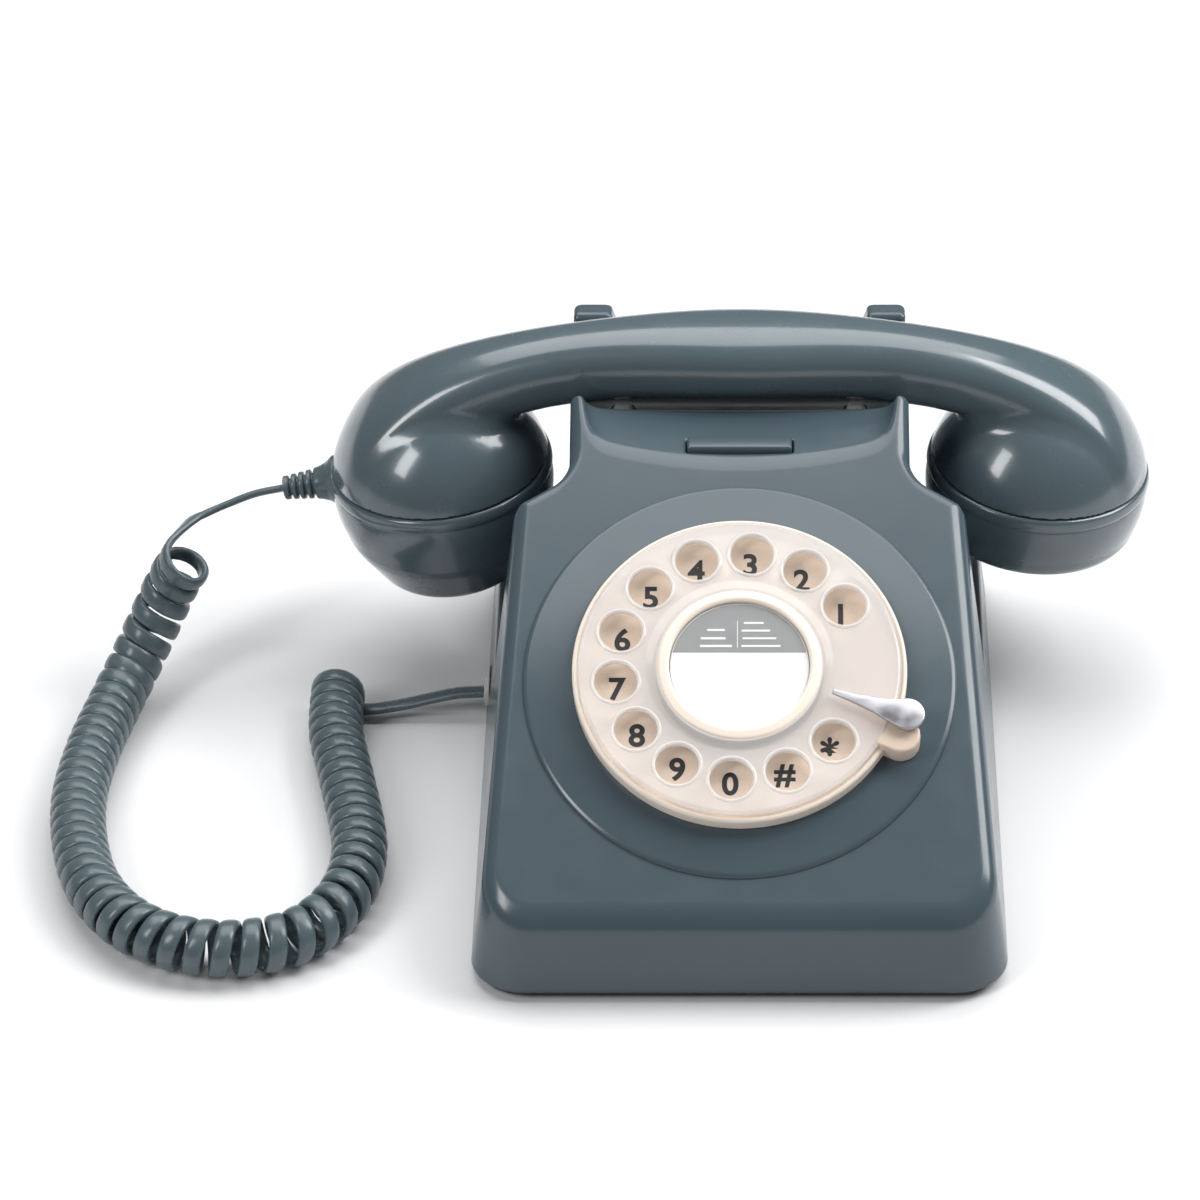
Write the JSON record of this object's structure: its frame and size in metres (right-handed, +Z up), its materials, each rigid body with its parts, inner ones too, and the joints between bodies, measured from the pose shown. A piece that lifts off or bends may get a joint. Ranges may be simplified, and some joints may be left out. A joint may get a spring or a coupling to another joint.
{
  "type": "rotary telephone",
  "caption": "Desk telephone with a rotary dial on a sloping face, a lift-off handset across a horned cradle, and a curly handset cord.",
  "frame": {"origin": "on the surface that the telephone stands on, under the middle of the telephone without its free cord", "axes": "+X to the right as the dial is faced, along the handset; +Y to the back; +Z up"},
  "size_m": [0.3199, 0.2074, 0.1149],
  "materials": {
    "case_plastic": "glossy blue-grey moulding",
    "handset_plastic": "glossy blue-grey moulding",
    "cord_plastic": "soft semi-gloss cable sheath",
    "number_ring_plastic": "cream plastic with black figures",
    "clear_plastic": "clear moulded plastic, polished",
    "label_card": "printed card, white and grey",
    "chrome_trim": "polished",
    "steel_parts": "plain",
    "brass_parts": "plain",
    "black_parts": "moulded black",
    "base_paint": "black enamel",
    "foot_rubber": "matt",
    "board_laminate": "green laminate",
    "coil_wire": "lacquered winding"
  },
  "bodies": {
    "base": {"case": "case_plastic", "base_plate": "base_paint", "foot_front_left": "foot_rubber", "foot_front_right": "foot_rubber", "foot_rear_left": "foot_rubber", "foot_rear_right": "foot_rubber", "case_screw_left": "steel_parts", "case_screw_right": "steel_parts", "dial_housing": "black_parts", "number_ring": "number_ring_plastic", "finger_stop": "chrome_trim", "hook_bracket": "steel_parts", "hook_spring": "steel_parts", "hook_contacts": "black_parts", "press_bar_spring": "steel_parts", "press_bar_bracket": "steel_parts", "gong_left": "brass_parts", "gong_right": "brass_parts", "gong_post_left": "steel_parts", "gong_post_right": "steel_parts", "ringer_coil": "coil_wire", "ringer_frame": "steel_parts", "circuit_board": "board_laminate", "transformer": "steel_parts", "capacitor": "black_parts", "ballast_weight": "steel_parts", "handset_socket": "black_parts", "line_socket": "black_parts", "cord_coil": "cord_plastic", "cord_lower_strand": "cord_plastic", "cord_plug": "clear_plastic"},
    "dial": {"fingerplate": "clear_plastic", "dial_shaft": "steel_parts", "dial_label": "label_card", "label_cover": "clear_plastic", "label_ring": "number_ring_plastic", "main_gear": "brass_parts", "impulse_cam": "black_parts", "mainspring": "steel_parts"},
    "train": {"train_pinion": "brass_parts", "train_shaft": "steel_parts", "train_wheel": "black_parts"},
    "governor": {"governor": "steel_parts"},
    "handset": {"handset_shell": "handset_plastic", "mouthpiece_cap": "handset_plastic", "earpiece_cap": "handset_plastic", "microphone_capsule": "steel_parts", "receiver_capsule": "steel_parts", "cord_relief": "cord_plastic", "cord_upper_strand": "cord_plastic"},
    "hook": {"hook_plunger_left": "clear_plastic", "hook_plunger_right": "clear_plastic", "hook_crossbar": "black_parts"},
    "press_bar": {"press_bar": "case_plastic"},
    "clapper": {"ringer_clapper": "steel_parts"},
    "volume_slider": {"volume_slider": "black_parts"},
    "dialling_slider": {"dialling_slider": "black_parts"}
  },
  "joints": [
    {"name": "dial_turn", "type": "hinge", "parent": "base", "child": "dial", "pos_m": [0, -0.03968, 0.06824], "axis": [0, 0.4617, -0.887], "range_deg": [0, 336], "stiffness_Nm_per_rad": 0.004, "springref_deg": -28.65},
    {"name": "train_turn", "type": "hinge", "parent": "base", "child": "train", "pos_m": [-0.024, -0.03367, 0.05671], "axis": [0, 0.4617, -0.887], "range_deg": [-1010, 2]},
    {"name": "governor_turn", "type": "hinge", "parent": "base", "child": "governor", "pos_m": [-0.024, -0.04071, 0.03862], "axis": [1, 0, 0], "range_deg": [-2, 3370]},
    {"name": "handset_lift", "type": "slide", "parent": "base", "child": "handset", "axis": [0, 0, 1], "range_m": [0, 0.09], "deforming": ["cord_upper_strand"]},
    {"name": "hook_rise", "type": "slide", "parent": "base", "child": "hook", "axis": [0, 0, 1], "range_m": [0, 0.004], "deforming": ["hook_spring"]},
    {"name": "press_bar_push", "type": "slide", "parent": "base", "child": "press_bar", "axis": [0, 0, -1], "range_m": [0, 0.0015], "stiffness_N_per_m": 400, "springref_m": -0.002, "deforming": ["press_bar_spring"]},
    {"name": "clapper_swing", "type": "hinge", "parent": "base", "child": "clapper", "pos_m": [0, 0.049, 0.03], "axis": [0, 0, 1], "range_deg": [-3, 3], "stiffness_Nm_per_rad": 0.002},
    {"name": "volume_slide", "type": "slide", "parent": "base", "child": "volume_slider", "axis": [1, 0, 0], "range_m": [-0.003, 0.003]},
    {"name": "dialling_slide", "type": "slide", "parent": "base", "child": "dialling_slider", "axis": [1, 0, 0], "range_m": [-0.003, 0.003]}
  ],
  "couplings": [
    {"joint": "train_turn", "follows": "dial_turn", "ratio": -3},
    {"joint": "governor_turn", "follows": "dial_turn", "ratio": 10},
    {"joint": "hook_rise", "follows": "handset_lift", "ratio": 0.04444}
  ]
}
